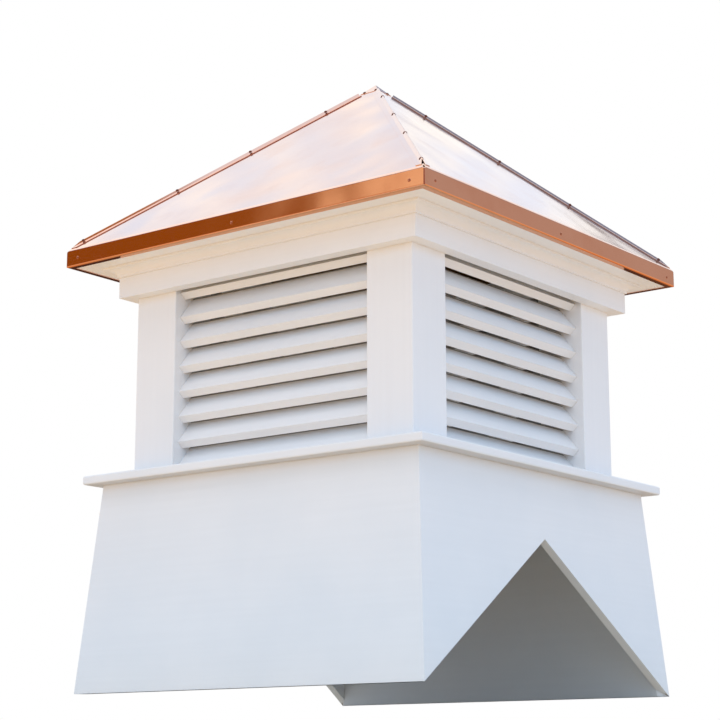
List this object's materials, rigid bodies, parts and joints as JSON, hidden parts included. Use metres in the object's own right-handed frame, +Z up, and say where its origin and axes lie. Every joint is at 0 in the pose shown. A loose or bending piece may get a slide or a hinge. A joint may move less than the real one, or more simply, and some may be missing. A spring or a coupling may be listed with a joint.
{
  "type": "barn cupola",
  "caption": "Square cupola: tapered white base cut to sit astride a ridge, fixed louvres between corner posts, crown moulding and a copper pyramid roof with riveted hip caps.",
  "frame": {"origin": "centre of the footprint on the level of the base's lowest edge", "axes": "+Z up, X along the ridge that the base sits astride, -Y towards the front, whose base wall is whole"},
  "size_m": [0.654, 0.654, 0.927],
  "materials": {
    "white_board": "white cellular PVC trim board, smooth, satin",
    "plywood": "bare plywood, unpainted",
    "copper": "new bright copper sheet, slightly wavy, with light handling marks"
  },
  "bodies": {
    "root": {"base_panel_front": "white_board", "base_panel_right": "white_board", "base_panel_back": "white_board", "base_panel_left": "white_board", "sill_front": "white_board", "sill_right": "white_board", "sill_back": "white_board", "sill_left": "white_board", "louvres_front": "white_board", "louvres_right": "white_board", "louvres_back": "white_board", "louvres_left": "white_board", "frieze_front": "white_board", "frieze_right": "white_board", "frieze_back": "white_board", "frieze_left": "white_board", "crown_front": "white_board", "crown_right": "white_board", "crown_back": "white_board", "crown_left": "white_board", "soffit_front": "white_board", "soffit_right": "white_board", "soffit_back": "white_board", "soffit_left": "white_board", "roof_deck_front": "plywood", "roof_deck_right": "plywood", "roof_deck_back": "plywood", "roof_deck_left": "plywood", "copper_panel_front": "copper", "copper_panel_right": "copper", "copper_panel_back": "copper", "copper_panel_left": "copper", "corner_post_front_right": "white_board", "corner_post_back_right": "white_board", "corner_post_back_left": "white_board", "corner_post_front_left": "white_board", "hip_cap_front_right": "copper", "hip_cap_back_right": "copper", "hip_cap_back_left": "copper", "hip_cap_front_left": "copper", "apex_cap": "copper"}
  },
  "joints": []
}
